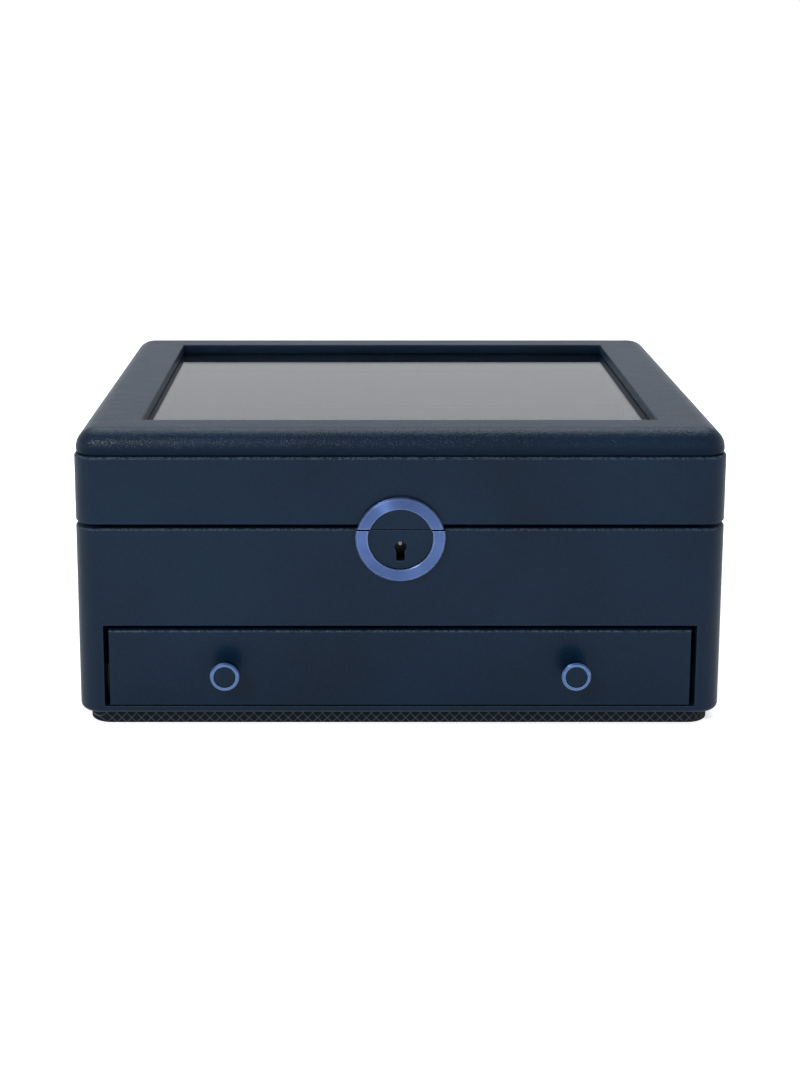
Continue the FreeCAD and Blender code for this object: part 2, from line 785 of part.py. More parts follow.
def make_knobs():
    """Turned knobs with a cup in front for the leather inlay and a screw from behind."""
    reach, edge = s.knob_reach, s.knob_bevel
    neck = reach - s.knob_head
    cup_floor = s.knob_cup_depth - reach
    profile = [
        (-s.knob_screw_depth, 0), (-s.knob_screw_depth, s.knob_screw_radius),
        (0, s.knob_screw_radius), (0, s.knob_stem_radius), (-neck, s.knob_stem_radius),
        (-neck, s.knob_radius), (edge - reach, s.knob_radius), (-reach, s.knob_radius - edge),
        (-reach, s.knob_cup_radius), (cup_floor, s.knob_cup_radius), (cup_floor, 0),
    ]
    for side in Side:
        x = side * knob_x
        knob = new_body("knob_" + side.name, x=x, y=front, z=knob_level)
        sketch = new_sketch(knob, PLANE_FROM_SIDE, 0)
        draw_profile(sketch, profile)
        doc.recompute()
        turned = knob.newObject("PartDesign::Revolution", "knob_turned")
        turned.Profile = sketch
        turned.ReferenceAxis = (sketch, ["H_Axis"])
        turned.Angle = 360
        doc.recompute()
        inlay = new_body("knob_inlay_" + side.name, x=x, y=front + cup_floor, z=knob_level)
        radius = s.knob_cup_radius - s.knob_inlay_clearance
        add_pad(inlay, PLANE_FROM_FRONT, s.knob_inlay_thickness, lambda k: draw_circle(k, radius))
        bevel_edges(inlay, s.knob_inlay_bevel, on_face(s.knob_inlay_thickness))


def make_knob_screws():
    screws = []
    for side in Side:
        place = Vector(side * knob_x.value, drawer_box_front.value, knob_level.value)
        shank_length = (s.drawer_front_thickness + s.knob_screw_depth - s.screw_clearance).value
        shank = Part.makeCylinder(s.knob_screw_radius.value - s.screw_clearance.value, shank_length, place,
                                  Vector(0, -1, 0))
        head = Part.makeCylinder(s.knob_screw_head_radius.value, s.knob_screw_head_height.value, place,
                                 Vector(0, 1, 0))
        screws.append(head.fuse(shank).removeSplitter())
    add_solids("knob_screws", screws)


# The ring, its disc and the lock

def make_round_half(label, centre, radius, thickness, bore=None, slit=None, upper=True):
    """One half of a flat round piece on the front of the box, cut along the split line."""
    body = new_body(label, y=front)

    def draw(sketch):
        draw_circle(sketch, radius, 0, centre)
        if bore:
            draw_circle(sketch, bore, 0, centre)

    add_pad(body, PLANE_FROM_FRONT, thickness, draw)
    waste = 2 * radius
    edge_level = split_level + slit / 2 if upper else split_level - slit / 2
    waste_middle = edge_level - waste / 2 if upper else edge_level + waste / 2
    add_pocket(body, PLANE_FROM_FRONT, thickness,
               lambda k: draw_rectangle(k, 2 * waste, waste, 0, waste_middle), out=thickness)
    return body


def make_ring_and_disc():
    for name, upper in (("upper", True), ("lower", False)):
        centre = ring_level - s.ring_drop if upper else ring_level + s.ring_drop
        ring = make_round_half("lock_ring_" + name, centre, s.ring_radius, s.ring_thickness,
                               bore=s.ring_bore_radius, slit=s.ring_slit, upper=upper)
        bevel_edges(ring, s.ring_outer_bevel, both(on_face(s.ring_thickness), on_circle(s.ring_radius)))
        bevel_edges(ring, s.ring_inner_bevel, both(on_face(s.ring_thickness), on_circle(s.ring_bore_radius)))
        disc = make_round_half("lock_disc_" + name, centre, s.ring_bore_radius - s.disc_clearance,
                               s.disc_thickness, slit=s.disc_slit, upper=upper)
        if not upper:
            for draw in (draw_keyhole_circle, draw_keyhole_slot):
                add_pocket(disc, PLANE_FROM_FRONT, s.disc_thickness, draw, out=s.disc_thickness)


def make_lock_case():
    """A pressed case that hangs from its face plate in the front wall."""
    body = new_body("lock_case", y=lock_rear)
    depth, sheet_gauge = s.lock_thickness, s.lock_sheet
    middle = (lock_bottom + lock_top) / 2
    add_pad(body, PLANE_FROM_FRONT, depth,
            lambda k: draw_rectangle(k, s.lock_width, s.lock_height, 0, middle))
    add_pocket(body, PLANE_FROM_FRONT, depth - sheet_gauge,
               lambda k: draw_rectangle(k, s.lock_width - 2 * sheet_gauge, s.lock_height - 2 * sheet_gauge,
                                        0, middle), reverse=True)
    plate_middle = lock_middle - lock_rear
    add_pad(body, PLANE_FROM_ABOVE, s.face_plate_thickness,
            lambda k: draw_rectangle(k, s.face_plate_width, s.face_plate_depth, 0, plate_middle), out=lock_top)
    slot_width = s.link_thickness + 2 * s.link_play
    slot_depth = s.bolt_thickness + 2 * s.link_play + 2 * s.link_wall + 2 * s.link_play

    def draw_link_slots(sketch):
        for end in (-1, 1):
            draw_rectangle(sketch, slot_width, slot_depth, link_x(end), plate_middle)

    add_pocket(body, PLANE_FROM_ABOVE, s.face_plate_thickness + sheet_gauge, draw_link_slots, out=rim_level)
    for draw in (draw_keyhole_circle, draw_keyhole_slot):
        add_pocket(body, PLANE_FROM_FRONT, sheet_gauge, draw, out=depth)
    places = [(end * s.lock_screw_spacing / 2, plate_middle) for end in (-1, 1)]
    add_pocket(body, PLANE_FROM_ABOVE, s.face_plate_thickness, lambda k: draw_screw_holes(k, places),
               out=rim_level)
    board("lock_cover", (-(s.lock_width / 2), lock_rear, lock_bottom),
          (s.lock_width / 2, lock_rear + sheet_gauge, lock_top))


def link_x(end):
    """The middle of one of the two links that the bolt goes through."""
    return end * s.link_spacing / 2


def make_lock_post():
    """The post that a hollow key turns on, riveted to the cover of the lock."""
    body = new_body("lock_post", y=lock_rear, z=keyhole_level)
    add_pad(body, PLANE_FROM_FRONT, s.post_length, lambda k: draw_circle(k, s.post_radius))


def make_lock_bolt():
    """A bar with two arms whose fingers slide through the links of the strike."""
    bar_top = bolt_level + s.bolt_bar_height
    finger_bottom = bolt_level + s.bolt_finger_rise
    finger_top = finger_bottom + s.bolt_finger_height
    second = bolt_left + s.link_spacing - s.link_thickness / 2
    first = bolt_left - s.link_thickness / 2
    left = first - s.bolt_finger_length - s.bolt_arm
    arm = s.bolt_arm
    profile = [
        (left, bolt_level), (second - s.bolt_finger_length, bolt_level),
        (second - s.bolt_finger_length, finger_bottom), (second, finger_bottom), (second, finger_top),
        (second - s.bolt_finger_length - arm, finger_top), (second - s.bolt_finger_length - arm, bar_top),
        (left + arm, bar_top), (left + arm, finger_bottom), (first, finger_bottom), (first, finger_top),
        (left, finger_top),
    ]
    body = new_body("lock_bolt", y=lock_middle)
    add_pad(body, PLANE_FROM_FRONT, s.bolt_thickness, lambda k: draw_profile(k, profile), both_ways=True)
    bar_right = second - s.bolt_finger_length
    bar_depth = s.lock_thickness - s.lock_sheet - 2 * s.bolt_play
    inside_middle = s.lock_sheet / 2
    add_pad(body, PLANE_FROM_FRONT, bar_depth,
            lambda k: draw_rectangle(k, bar_right - left, s.bolt_bar_height, (left + bar_right) / 2,
                                     bolt_level + s.bolt_bar_height / 2),
            out=-(inside_middle + bar_depth / 2))
    add_pocket(body, PLANE_FROM_FRONT, 2 * s.lock_thickness,
               lambda k: draw_rectangle(k, s.bolt_notch_width, s.bolt_notch_height, (left + bar_right) / 2,
                                        bolt_level + s.bolt_notch_height / 2), both_ways=True)


def make_strike():
    """The plate under the lid with two links that the bolt holds."""
    body = new_body("lock_strike", y=lock_middle)
    add_pad(body, PLANE_FROM_ABOVE, s.strike_thickness,
            lambda k: draw_rectangle(k, s.strike_width, s.strike_depth), out=strike_level)
    link_bottom = bolt_level + s.bolt_bar_height + s.link_play
    eye_depth = s.bolt_thickness + 2 * s.link_play
    link_depth = eye_depth + 2 * s.link_wall

    def draw_links(sketch):
        for end in (-1, 1):
            draw_rectangle(sketch, s.link_thickness, link_depth, link_x(end))

    add_pad(body, PLANE_FROM_ABOVE, strike_level - link_bottom, draw_links, out=link_bottom)
    eye_bottom = bolt_level + s.bolt_finger_rise - s.link_play
    eye_height = s.bolt_finger_height + 2 * s.link_play
    add_pocket(body, PLANE_FROM_SIDE, s.strike_width,
               lambda k: draw_rectangle(k, eye_depth, eye_height, 0, eye_bottom + eye_height / 2),
               both_ways=True)
    places = [(end * s.strike_screw_spacing / 2, 0) for end in (-1, 1)]
    add_pocket(body, PLANE_FROM_ABOVE, s.strike_thickness, lambda k: draw_screw_holes(k, places), out=lid_level)


# The hinges

def draw_leaf(sketch):
    """A leaf seen from its end: a flat strip that runs into a round knuckle."""
    low = -(s.lid_gap / 2)
    high = low + s.hinge_leaf_thickness
    end = -s.hinge_leaf_depth
    radius = s.knuckle_radius
    low_start = -((radius.value ** 2 - low.value ** 2) ** 0.5)
    high_start = -((radius.value ** 2 - high.value ** 2) ** 0.5)
    corners = [Vector(end.value, low.value, 0), Vector(low_start, low.value, 0),
               Vector(high_start, high.value, 0), Vector(end.value, high.value, 0)]
    lower = sketch.addGeometry(Part.LineSegment(corners[0], corners[1]), False)
    knuckle = sketch.addGeometry(Part.Arc(corners[1], Vector(radius.value, 0, 0), corners[2]), False)
    upper = sketch.addGeometry(Part.LineSegment(corners[2], corners[3]), False)
    closing = sketch.addGeometry(Part.LineSegment(corners[3], corners[0]), False)
    for first, first_point, second, second_point in (
            (lower, Ref.END, knuckle, Ref.START), (knuckle, Ref.END, upper, Ref.START),
            (upper, Ref.END, closing, Ref.START), (closing, Ref.END, lower, Ref.START)):
        sketch.addConstraint(Sketcher.Constraint("Coincident", first, first_point, second, second_point))
    sketch.addConstraint(Sketcher.Constraint("Horizontal", lower))
    sketch.addConstraint(Sketcher.Constraint("Horizontal", upper))
    hold_point(sketch, knuckle, Ref.CENTRE, 0, 0)
    hold(sketch, "Radius", knuckle, size=radius)
    hold_point(sketch, lower, Ref.START, end, low)
    hold_point(sketch, upper, Ref.END, end, high)


def make_leaf(label, side, on_case):
    """One leaf, with the other leaf's knuckles cut away. The lid's leaf is the case's turned over."""
    turned = None if on_case else Rotation(Vector(0, 1, 0), 180)
    body = new_body(label, x=hinge_x(side), y=pivot_y, z=pivot_level, turned=turned)
    add_pad(body, PLANE_FROM_SIDE, s.hinge_length, draw_leaf, both_ways=True)
    gap_depth = 2 * s.knuckle_radius + 2 * s.knuckle_clearance
    if on_case:
        cuts = [(s.knuckle_length + 2 * s.knuckle_clearance, as_size(0))]
    else:
        end_length = (s.hinge_length - s.knuckle_length) / 2
        cuts = [(end_length, end * (s.knuckle_length + end_length) / 2) for end in (-1, 1)]

    def draw_gaps(sketch):
        for length, middle in cuts:
            draw_rectangle(sketch, length, gap_depth, middle, 0)

    add_pocket(body, PLANE_FROM_ABOVE, 3 * s.knuckle_radius, draw_gaps, both_ways=True)
    add_pocket(body, PLANE_FROM_SIDE, 2 * s.hinge_length,
               lambda k: draw_circle(k, s.pin_radius + s.pin_clearance), both_ways=True)
    flat_length = s.hinge_leaf_depth - s.knuckle_radius - s.knuckle_clearance
    places = [(end * s.hinge_screw_spacing / 2, flat_length / 2 - s.hinge_leaf_depth) for end in (-1, 1)]
    add_pocket(body, PLANE_FROM_ABOVE, s.lid_gap, lambda k: draw_screw_holes(k, places), both_ways=True)


def make_hinges():
    pins = []
    for side in Side:
        make_leaf("hinge_case_leaf_" + side.name, side, True)
        make_leaf("hinge_lid_leaf_" + side.name, side, False)
        start = Vector((hinge_x(side) - s.hinge_length / 2).value, pivot_y.value, pivot_level.value)
        pins.append(Part.makeCylinder(s.pin_radius.value, s.hinge_length.value, start, Vector(1, 0, 0)))
    add_solids("hinge_pins", pins)


def check_model():
    """Stop if a feature failed or a piece is empty or broken."""
    for thing in doc.Objects:
        if "Invalid" in thing.State or "Error" in thing.State:
            raise RuntimeError(f"{thing.Label} failed: {thing.State}")
    for node in nodes:
        if node.Shape.isNull() or not node.Shape.isValid() or not node.Shape.Solids:
            raise RuntimeError(f"{node.Label} has no valid solid")


def write_steps():
    os.makedirs("parts", exist_ok=True)
    for node in nodes:
        node.Shape.exportStep(f"parts/{node.Label}.step")


make_plinth()
make_case_shell()
make_boards()
make_inner_lip()
make_runners()
make_dividers()
make_cushions()
make_lid_band()
make_lid_pad()
make_glass()
make_drawer_front()
make_drawer_box()
make_knobs()
make_knob_screws()
make_ring_and_disc()
make_lock_case()
make_lock_post()
make_lock_bolt()
make_strike()
make_hinges()
doc.recompute()
check_model()
write_steps()
print(len(nodes), "pieces")
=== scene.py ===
import math

import bmesh
import bpy
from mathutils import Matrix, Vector, noise


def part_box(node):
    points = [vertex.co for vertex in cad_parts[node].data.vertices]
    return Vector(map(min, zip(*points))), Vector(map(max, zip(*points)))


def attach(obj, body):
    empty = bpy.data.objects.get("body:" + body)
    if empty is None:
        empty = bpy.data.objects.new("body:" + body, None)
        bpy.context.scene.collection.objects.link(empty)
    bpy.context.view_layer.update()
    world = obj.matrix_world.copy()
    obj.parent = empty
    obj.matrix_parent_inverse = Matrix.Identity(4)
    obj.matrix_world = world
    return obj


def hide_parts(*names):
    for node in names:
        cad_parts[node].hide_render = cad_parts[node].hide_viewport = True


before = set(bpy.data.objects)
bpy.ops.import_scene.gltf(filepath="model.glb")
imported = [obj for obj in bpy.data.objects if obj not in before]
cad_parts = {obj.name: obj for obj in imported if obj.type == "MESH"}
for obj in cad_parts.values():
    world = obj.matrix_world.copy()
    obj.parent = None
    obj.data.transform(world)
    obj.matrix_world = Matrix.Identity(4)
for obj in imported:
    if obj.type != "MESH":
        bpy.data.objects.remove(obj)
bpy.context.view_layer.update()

MM = 0.001

# The photograph's camera: its place before the front wall, and how it looks down.
CAMERA_PLACE = Vector((-21 * MM, -870 * MM, 362 * MM))
CAMERA_PITCH = math.radians(8.83)
CAMERA_FOCAL_PIXELS = 1502
CAMERA_SHIFT = (0.0376, -0.25)
CAMERA_REACH = 100
PHOTO_HEIGHT = 1067
SENSOR_HEIGHT = 36

# The surround, by the height of a direction: 0 at the horizon, 1 overhead.
HORIZON = (0.13, 0.20)
CEILING = (0.5, 0.95)
FLOOR_SIZE = 60
FLOOR_SQUARES = 8

# Leather: its colours, and the heights over which shade is painted on the padded roll's foot, fading out
# upwards.
NAVY = (0.0012, 0.0116, 0.0300)
NAVY_PALE = tuple(1.5 * part for part in NAVY)
# The dark between the leather's cells, and also the colour of the painted shade at the padded roll's foot.
NAVY_CREASE_AND_SHADE = (0.0006, 0.0058, 0.0150)
# Paler leather along all edges: partly wear, partly a painted highlight.
NAVY_WORN_AND_HIGHLIGHT = (0.016, 0.032, 0.058)
# A highlight painted on the leather's upper edges, where light from above would catch them.
NAVY_PAINTED_HIGHLIGHT = (0.042, 0.056, 0.078)
PAD_PAINTED_SHADE = (148.5 * MM, 154 * MM)

# Where the velvet's pile stands and where it leans.
LINING_COLOURS = ((0.0035, 0.0045, 0.008), (0.011, 0.014, 0.022))
PLUSH_COLOURS = ((0.005, 0.0065, 0.011), (0.016, 0.021, 0.033))

# How deep the surfaces are.
LEATHER_RELIEF = 0.045 * MM
LINING_PILE = 0.2 * MM
PLUSH_PILE = 0.3 * MM
WEAVE_RELIEF = 0.06 * MM
FELT_RELIEF = 0.25 * MM
BOARD_RELIEF = 0.08 * MM
PLASTIC_RELIEF = 0.03 * MM
SATIN_RELIEF = 0.012 * MM
GROOVE_RELIEF = 0.004 * MM
DRAWN_RELIEF = 0.01 * MM
BLACKENED_RELIEF = 0.02 * MM

# How far in from an edge it is worn. On leather that edge is also a painted highlight, and the upper edge
# holds only a painted highlight.
LEATHER_EDGE = 1.1 * MM
LEATHER_HIGHLIGHT_EDGE = 0.4 * MM
METAL_EDGE = 0.4 * MM
RING_EDGE = 0.5 * MM

# How far the leather's cells are moved about, and the threads and printed lines of the plinth's cloth.
PEBBLE_WANDER = 1.1 * MM
THREAD = 0.45 * MM
LATTICE_PITCH = 5.2 * MM
LATTICE_LINE = 0.04
LATTICE_CORE = 0.4

# The ring's face slopes away from its centre.
RING_CENTRE = (0, 0, 103.5 * MM)
RING_FALL = 0.18

# How wide sharp edges of the CAD nodes are rounded, and which edges count as sharp.
COVER_ROUND = 0.6 * MM
DRAWER_ROUND = 0.9 * MM
SHARP_ANGLE = math.radians(32)
WELD_REACH = 0.001 * MM
SAME_PLACE = 0.01 * MM

# The small screws and the places of their holes.
SCREW_POINTS = 48
SCREW_HEAD = 1.42 * MM
SCREW_HEAD_DEPTH = 0.6 * MM
SCREW_ROUND = 0.08 * MM
SCREW_RECESS = 0.85 * MM
SCREW_SLOT = 0.24 * MM
SCREW_DEPTH = 0.35 * MM
SCREW_RECESS_FOOT = 0.8
SCREW_SUNK = 0.06 * MM
SCREW_TURN = 37
HOLE_MARGIN = 0.5 * MM
HINGE_X = 105 * MM
HINGE_SCREW_STEP = 10 * MM
HINGE_SCREW_Y = 115 * MM
LOCK_SCREW_X = 16.5 * MM
STRIKE_SCREW_X = 13 * MM
LOCK_SCREW_Y = -115.8 * MM

# The padded frame: its roll, its flat top, and its turned edge over the glass.
TRIM_THICKNESS = 1.2 * MM
GLASS_CLEARANCE = 0.2 * MM
PAD_CORNER = 12 * MM
PAD_TIGHT_CORNER = 0.4 * MM
PAD_LIP_CORNER = 0.9 * MM
PAD_ROLL = 11.6 * MM
PAD_FULLNESS = 2 / 2.1
PAD_CURL = 1.5 * MM
PAD_CURL_RISE = 2.4 * MM
PAD_TURN = 0.8 * MM
PAD_CROWN = 0.06 * MM
PAD_LIP = 0.4 * MM
PAD_LIP_TUCK = 0.2
PAD_ROLL_STEPS = 20
PAD_FLAT_STEPS = 8
PAD_EDGE_STEPS = 6

# A cushion before it is blown up: shares of its height, and how many millimetres it is drawn in there.
CUSHION_LEVELS = ((0.0, 3.2), (0.12, 1.2), (0.3, 0.5), (0.5, 0.6), (0.7, 1.6), (0.86, 4.6), (0.95, 9.0),
                  (1.0, 15.0))
CUSHION_DRAWN_IN = 1.6
CUSHION_CORNER = 9 * MM
CUSHION_LEAST_CORNER = 3 * MM
CUSHION_CORNER_FALL = 0.4
CUSHION_CORNER_STEPS = 6
CUSHION_SIDE_STEPS = 8
CUSHION_RAISED = 0.4 * MM
CUSHION_LOWER = 1.6 * MM
CUSHION_VOXEL = 2.4 * MM
CUSHION_RIPPLE = 0.5 * MM
CUSHION_RIPPLE_SCALE = 55
CUSHION_RIPPLE_SHIFT = 3.7
CUSHION_RIPPLE_SEED = 5

# How a cushion is blown up, and the seams that hold it at its two ends.
CUSHION_SWELL = 3.2 * MM
CUSHION_FOOT = 0.1 * MM
CUSHION_SEAM = 9 * MM
SEAM_REACH = 1.4 * MM
SEAM_HOLD = 0.9
SEAM_WIDTH = 1.1 * MM
SEAM_DEPTH = 0.7 * MM
CLOTH_FRAMES = 20
CLOTH_SETTINGS = {"quality": 6, "mass": 0.15, "tension_stiffness": 12, "compression_stiffness": 12,
                  "bending_stiffness": 0.3, "use_pressure": True, "uniform_pressure_force": 4,
                  "vertex_group_mass": "seams"}


# Parts of materials

def new_material(name):
    material = bpy.data.materials.new(name)
    material.use_nodes = True
    material.node_tree.nodes.clear()
    return material


def add(material, kind, inputs=None, **settings):
    """A shader node. An input is a number, a colour or another node's output."""
    tree = material.node_tree
    node = tree.nodes.new("ShaderNode" + kind)
    for name, value in settings.items():
        setattr(node, name, value)
    for name, value in (inputs or {}).items():
        if isinstance(value, bpy.types.NodeSocket):
            tree.links.new(value, node.inputs[name])
        else:
            node.inputs[name].default_value = value
    return node


def surface(material, **sockets):
    """Ends a material with one Principled shader; its sockets are named with underscores."""
    inputs = {name.replace("_", " "): value for name, value in sockets.items()}
    shader = add(material, "BsdfPrincipled", inputs)
    add(material, "OutputMaterial", {"Surface": shader.outputs["BSDF"]})
    return material


def place(material, scale=(1, 1, 1), turned=(0, 0, 0)):
    """A point's place on its body in metres, stretched by scale."""
    coordinates = add(material, "TexCoord").outputs["Object"]
    mapping = add(material, "Mapping", {"Vector": coordinates, "Scale": scale, "Rotation": turned})
    return mapping.outputs["Vector"]


def height_of(material, vector):
    """The upward part of a place or a direction."""
    return add(material, "SeparateXYZ", {"Vector": vector}).outputs["Z"]


def noise_at(material, where, scale, detail=2.0, roughness=0.5):
    return add(material, "TexNoise", {"Vector": where, "Scale": scale, "Detail": detail,
                                      "Roughness": roughness}).outputs["Fac"]


def ramp(material, value, from_low, from_high, to_low, to_high, smooth=False):
    """A value mapped from one range to another."""
    kind = "SMOOTHSTEP" if smooth else "LINEAR"
    return add(material, "MapRange", {"Value": value, "From Min": from_low, "From Max": from_high,
                                      "To Min": to_low, "To Max": to_high},
               interpolation_type=kind).outputs["Result"]


def from_noise(material, value, to_low, to_high):
    """A noise, most of which lies between 0.3 and 0.7, mapped to a range."""
    return ramp(material, value, 0.3, 0.7, to_low, to_high)


def maths(material, operation, first, second=0.0):
    return add(material, "Math", {0: first, 1: second}, operation=operation).outputs["Value"]


def blend_numbers(material, share, first, second):
    return add(material, "Mix", {"Factor": share, 2: first, 3: second}, data_type="FLOAT").outputs[0]


def blend_colours(material, share, first, second):
    """Two colours, or two outputs, mixed by a share, which is an output."""
    node = material.node_tree.nodes.new("ShaderNodeMix")
    node.data_type = "RGBA"
    for socket, value in ((node.inputs["Factor"], share), (node.inputs[6], first), (node.inputs[7], second)):
        if isinstance(value, bpy.types.NodeSocket):
            material.node_tree.links.new(value, socket)
        else:
            socket.default_value = (*value, 1)
    return node.outputs[2]


def mottle(material, value, first, second, most=1.0):
    """Two colours mixed by a noise, with at most a given share of the second."""
    return blend_colours(material, from_noise(material, value, 0.0, most), first, second)


def bump(material, height, depth, strength=1.0):
    inputs = {"Height": height, "Distance": depth, "Strength": strength}
    return add(material, "Bump", inputs).outputs["Normal"]


def edge_wear(material, radius):
    """0 on flat ground, rising to 1 along edges."""
    rounded = add(material, "Bevel", {"Radius": radius}, samples=4).outputs["Normal"]
    plain = add(material, "NewGeometry").outputs["Normal"]
    facing = add(material, "VectorMath", {0: rounded, 1: plain}, operation="DOT_PRODUCT").outputs["Value"]
    return ramp(material, facing, 0.995, 0.86, 0.0, 1.0)


def upper_edge(material, radius):
    """1 on edges that look obliquely upwards, 0 on walls and on flat tops."""
    rounded = add(material, "Bevel", {"Radius": radius}, samples=4).outputs["Normal"]
    own = add(material, "VectorTransform", {"Vector": rounded}, vector_type="NORMAL", convert_from="WORLD",
              convert_to="OBJECT").outputs["Vector"]
    upward = height_of(material, own)
    return maths(material, "MULTIPLY", ramp(material, upward, 0.08, 0.35, 0.0, 1.0),
                 ramp(material, upward, 0.9, 0.98, 1.0, 0.0))


# Leather and cloth

def pebbles(material, where):
    """The leather's cells of about a millimetre: 0 in the creases between them, 1 on them."""
    wander = add(material, "TexNoise", {"Vector": where, "Scale": 520.0, "Detail": 2.0}).outputs["Color"]
    shifted = add(material, "VectorMath", {0: wander, 1: (PEBBLE_WANDER,) * 3, 2: where},
                  operation="MULTIPLY_ADD").outputs["Vector"]
    cells = add(material, "TexVoronoi", {"Vector": shifted, "Scale": 1050.0},
                feature="DISTANCE_TO_EDGE").outputs["Distance"]
    return ramp(material, cells, 0.0, 0.4, 0.0, 1.0, smooth=True)


def leather_colour(material, where, pebble, pores):
    """Navy that drifts a little, darker between the cells and paler along edges, painted both as wear and as
    highlight.
    """
    drift = noise_at(material, where, 14.0, 4.0, 0.55)
    ground = blend_colours(material, pebble, NAVY_CREASE_AND_SHADE, NAVY)
    drifting = mottle(material, drift, ground, NAVY_PALE, 0.35)
    # Paler along edges: wear and a painted highlight together.
    worn_and_highlight = maths(material, "MULTIPLY", edge_wear(material, LEATHER_EDGE),
                 ramp(material, pores, 0.35, 0.7, 0.25, 0.8))
    return blend_colours(material, worn_and_highlight, drifting, NAVY_WORN_AND_HIGHLIGHT)


def leather_relief(material, pebble, swell, pores, depth):
    """Cells on slow swellings, with fine pores over both."""
    raised = maths(material, "ADD", maths(material, "MULTIPLY", pebble, 0.6),
                   maths(material, "MULTIPLY", swell, 1.3))
    return bump(material, maths(material, "ADD", raised, maths(material, "MULTIPLY", pores, 0.2)), depth)


def leather_material(name, grain=1.0, gloss=0.08, shine=0.10, sheen=0.0, shade=None):
    """Fine pebbled leather. Between the two heights of a shade it gets painted shade: its colour darker and
    its coat thinner downwards.

    Leather without a shade gets a painted highlight on its upper edges.
    """
    material = new_material(name)
    where = place(material)
    pebble = pebbles(material, where)
    swell = noise_at(material, where, 900.0)
    pores = noise_at(material, where, 5200.0, 3.0, 0.6)
    streaks = noise_at(material, place(material, (1, 9, 16)), 34.0, 4.0, 0.6)
    colour = leather_colour(material, where, pebble, pores)
    # Painted shade at the padded roll's foot: the colour darkens and the coat thins downwards between the
    # two heights.
    if shade:
        level = height_of(material, where)
        painted_shade_share = ramp(material, level, *shade, 0.9, 0.0, smooth=True)
        finished = blend_colours(material, painted_shade_share, colour, NAVY_CREASE_AND_SHADE)
        coat = ramp(material, level, *shade, 0.0, shine, smooth=True)
    else:
        # A highlight painted in flecks on edges that look obliquely upwards.
        flecks = ramp(material, swell, 0.42, 0.6, 0.1, 0.95)
        painted_highlight = maths(material, "MULTIPLY", upper_edge(material, LEATHER_HIGHLIGHT_EDGE), flecks)
        finished = blend_colours(material, painted_highlight, colour, NAVY_PAINTED_HIGHLIGHT)
        coat = shine
    rough = maths(material, "ADD", from_noise(material, streaks, 0.37, 0.45),
                  from_noise(material, pores, 0.0, 0.10))
    relief = leather_relief(material, pebble, swell, pores, LEATHER_RELIEF * grain)
    return surface(material, Base_Color=finished, Roughness=rough, Specular_IOR_Level=gloss, Normal=relief,
                   Sheen_Weight=sheen, Sheen_Roughness=0.35, Sheen_Tint=(0.35, 0.65, 1.0, 1.0),
                   Coat_Weight=coat, Coat_Roughness=0.16, Coat_Normal=relief)


def velvet_material(name, dark, light, pile):
    """Short-pile lining: soft mottling where the pile leans, and a sheen at its rim."""
    material = new_material(name)
    where = place(material)
    hairs = noise_at(material, where, 6500.0, 4.0, 0.7)
    lean = noise_at(material, where, 60.0, 3.0, 0.6)
    colour = blend_colours(material, ramp(material, lean, 0.35, 0.68, 0.0, 0.7), dark, light)
    ground = blend_colours(material, ramp(material, hairs, 0.35, 0.65, 0.0, 0.5), colour, dark)
    return surface(material, Base_Color=ground, Roughness=from_noise(material, hairs, 0.8, 0.98),
                   Sheen_Weight=0.35, Sheen_Roughness=0.4, Specular_IOR_Level=0.2,
                   Normal=bump(material, hairs, pile, 0.6))


def printed_line(material, distance):
    """0 on thin lines that come back at every pitch, 1 between them."""
    turn = maths(material, "FRACT", maths(material, "MULTIPLY", distance, 1 / LATTICE_PITCH))
    centred = maths(material, "ABSOLUTE", maths(material, "SUBTRACT", turn, 0.5))
    return ramp(material, centred, LATTICE_CORE * LATTICE_LINE, LATTICE_LINE, 0.0, 1.0)


def thread_wave(material, distance):
    return maths(material, "SINE", maths(material, "MULTIPLY", distance, 2 * math.pi / THREAD))


def woven_material(name):
    """Dark cloth with a thin pale lattice of diamonds printed on it."""
    material = new_material(name)
    along = add(material, "SeparateXYZ", {"Vector": place(material)}).outputs
    upward = height_of(material, add(material, "NewGeometry").outputs["Normal"])
    flat = maths(material, "GREATER_THAN", maths(material, "ABSOLUTE", upward), 0.7)
    sideways = maths(material, "ADD", along["X"], along["Y"])
    across = blend_numbers(material, flat, sideways, along["X"])
    rise = blend_numbers(material, flat, along["Z"], along["Y"])
    lattice = maths(material, "MINIMUM", printed_line(material, maths(material, "ADD", across, rise)),
                    printed_line(material, maths(material, "SUBTRACT", across, rise)))
    weave = maths(material, "MULTIPLY", thread_wave(material, across), thread_wave(material, rise))
    fuzz = noise_at(material, place(material), 1800.0, 3.0)
    ground = mottle(material, fuzz, (0.0016, 0.0030, 0.0060), (0.0040, 0.0065, 0.0115))
    line_colour = blend_colours(material, ramp(material, fuzz, 0.3, 0.75, 0.0, 1.0), (0.045, 0.056, 0.075),
                                (0.11, 0.125, 0.15))
    colour = blend_colours(material, lattice, line_colour, ground)
    return surface(material, Base_Color=colour, Roughness=from_noise(material, fuzz, 0.7, 0.9),
                   Specular_IOR_Level=0.12, Normal=bump(material, weave, WEAVE_RELIEF, 0.6))


